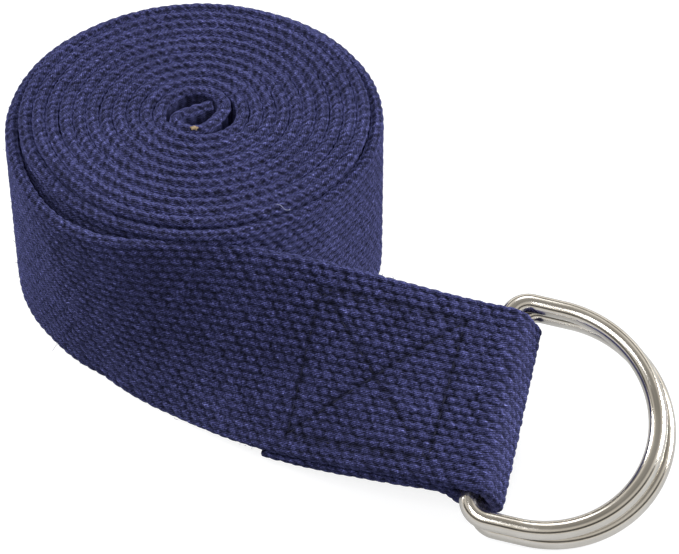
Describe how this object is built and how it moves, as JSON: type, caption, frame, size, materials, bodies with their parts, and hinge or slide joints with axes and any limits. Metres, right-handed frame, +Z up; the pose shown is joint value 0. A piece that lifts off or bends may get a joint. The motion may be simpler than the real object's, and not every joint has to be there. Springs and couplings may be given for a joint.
{
  "type": "stretching strap",
  "caption": "Rolled woven webbing strap; its free end leans out as a lead and is box-stitched round stacked D-rings that swing on it.",
  "frame": {"origin": "on the floor, on the axis of the rolled webbing, at the centre of the roll's lower face", "axes": "+Z up along the axis of the roll; +X from the roll towards the D-rings, along the longest side; the lead runs past the roll's front, which is -Y"},
  "size_m": [0.1319, 0.1214, 0.0382],
  "materials": {
    "webbing": "matt navy cotton webbing",
    "thread": "near-black sewing thread",
    "ring": "bright nickel plate"
  },
  "bodies": {
    "strap": {"webbing": "webbing", "needle_thread": "thread", "bobbin_thread": "thread"},
    "upper_ring": {"d_ring_upper": "ring"},
    "lower_ring": {"d_ring_lower": "ring"}
  },
  "joints": [
    {"name": "upper_ring_hinge", "type": "hinge", "parent": "strap", "child": "upper_ring", "pos_m": [0.05715, -0.05912, 0.01649], "axis": [-0.2227, -0.8932, -0.3907], "range_deg": [0, 160]},
    {"name": "lower_ring_hinge", "type": "hinge", "parent": "strap", "child": "lower_ring", "pos_m": [0.05912, -0.05784, 0.01244], "axis": [0.2227, 0.8932, 0.3907], "range_deg": [0, 164]}
  ]
}
